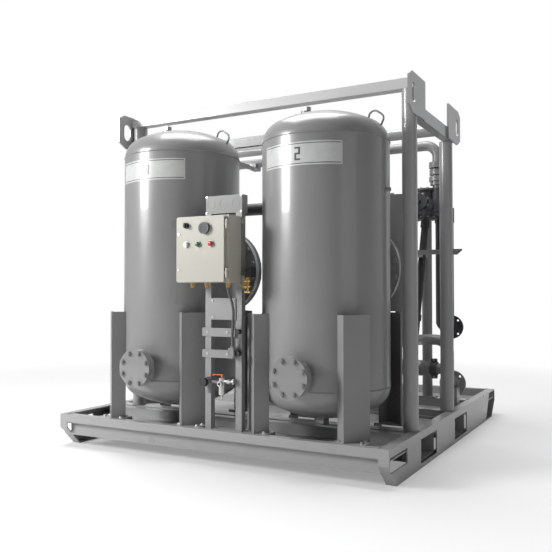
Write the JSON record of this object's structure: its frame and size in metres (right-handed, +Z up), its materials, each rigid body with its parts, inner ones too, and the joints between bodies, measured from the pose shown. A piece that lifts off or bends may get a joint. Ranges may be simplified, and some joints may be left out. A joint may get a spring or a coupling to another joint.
{
  "type": "air dryer",
  "caption": "Skid-mounted compressed air dryer with upright desiccant towers, a lifting frame, control panel, switching pipework and flanged ports.",
  "frame": {"origin": "middle of the bounding box at floor level; the skid centre line is X = 0", "axes": "+Z up, -Y is the side with the control panel, +X is the right-hand side with the piping, seen from the panel side"},
  "size_m": [2.3185, 2.748, 2.27],
  "materials": {
    "skid_paint": "semi-gloss light grey paint",
    "vessel_paint": "satin light grey paint",
    "pipe_paint": "satin light grey paint",
    "enclosure_paint": "warm light grey powder coat",
    "dark_paint": "dark satin paint",
    "zinc_steel": "galvanised",
    "steel": "zinc plated",
    "cast": "cast, painted dark",
    "brass": "plain",
    "black_plastic": "black",
    "grey_plastic": "grey",
    "lens_plastic": "coloured lenses",
    "orange_plastic": "orange sleeve",
    "rubber_black": "hose",
    "gasket_fibre": "gasket sheet",
    "bead": "packed beads",
    "filter_media": "pleated element",
    "cable_jacket": "cable sheath"
  },
  "bodies": {
    "skid": {"back_plate": "zinc_steel", "bed_screens": "steel", "bypass_hose": "rubber_black", "cable_glands": "steel", "clamp_knobs": "black_plastic", "cleanout_covers": "vessel_paint", "controller_and_relays": "black_plastic", "cross_members": "skid_paint", "deck_plates": "skid_paint", "desiccant_beds": "bead", "drain_valve": "brass", "enclosure_body": "enclosure_paint", "end_members": "skid_paint", "exhaust_muffler": "pipe_paint", "fill_plugs": "steel", "filter_bowl": "dark_paint", "filter_element": "filter_media", "filter_head": "dark_paint", "flange_gaskets": "gasket_fibre", "flange_studs": "steel", "fork_tubes": "skid_paint", "front_top_beam": "skid_paint", "grooved_couplings": "cast", "handhole_covers": "dark_paint", "hinge_pins": "steel", "inlet_pipe": "pipe_paint", "inlet_silencer": "pipe_paint", "junction_boxes": "zinc_steel", "leg_bases": "skid_paint", "lifting_plates": "skid_paint", "lower_header": "pipe_paint", "outlet_pipe": "dark_paint", "panel_rails": "zinc_steel", "panel_struts": "zinc_steel", "pipe_brackets": "skid_paint", "pipe_stands": "skid_paint", "posts": "skid_paint", "rear_cross_pipe": "skid_paint", "regulator_body": "grey_plastic", "riser_pipe": "pipe_paint", "runner_left": "skid_paint", "runner_right": "skid_paint", "side_beams": "skid_paint", "signal_cable": "cable_jacket", "solenoid_valves": "brass", "switching_valve": "cast", "top_pipe": "pipe_paint", "tower_left": "vessel_paint", "tower_legs": "vessel_paint", "tower_right": "vessel_paint", "upper_header": "pipe_paint", "valve_actuator": "dark_paint", "wireway": "zinc_steel"},
    "door": {"enclosure_door": "enclosure_paint", "alarm_sounder": "grey_plastic", "pilot_lights": "lens_plastic", "knob_bezel": "black_plastic"},
    "selector": {"selector_knob": "black_plastic"},
    "lever": {"drain_lever": "orange_plastic"},
    "regulator_dial": {"regulator_knob": "black_plastic"}
  },
  "joints": [
    {"name": "door_hinge", "type": "hinge", "parent": "skid", "child": "door", "pos_m": [0.236, -1.338, 1.2565], "axis": [0, 0, 1], "range_deg": [0, 110]},
    {"name": "selector_turn", "type": "hinge", "parent": "door", "child": "selector", "pos_m": [-0.032, -1.356, 1.393], "axis": [0, -1, 0], "range_deg": [-45, 45]},
    {"name": "drain_lever_turn", "type": "hinge", "parent": "skid", "child": "lever", "pos_m": [0.124, -1.212, 0.511], "axis": [0, 0, 1], "range_deg": [0, 90]},
    {"name": "regulator_turn", "type": "hinge", "parent": "skid", "child": "regulator_dial", "pos_m": [0.02, -1.245, 0.489], "axis": [0, -1, 0], "range_deg": [-150, 150]}
  ]
}
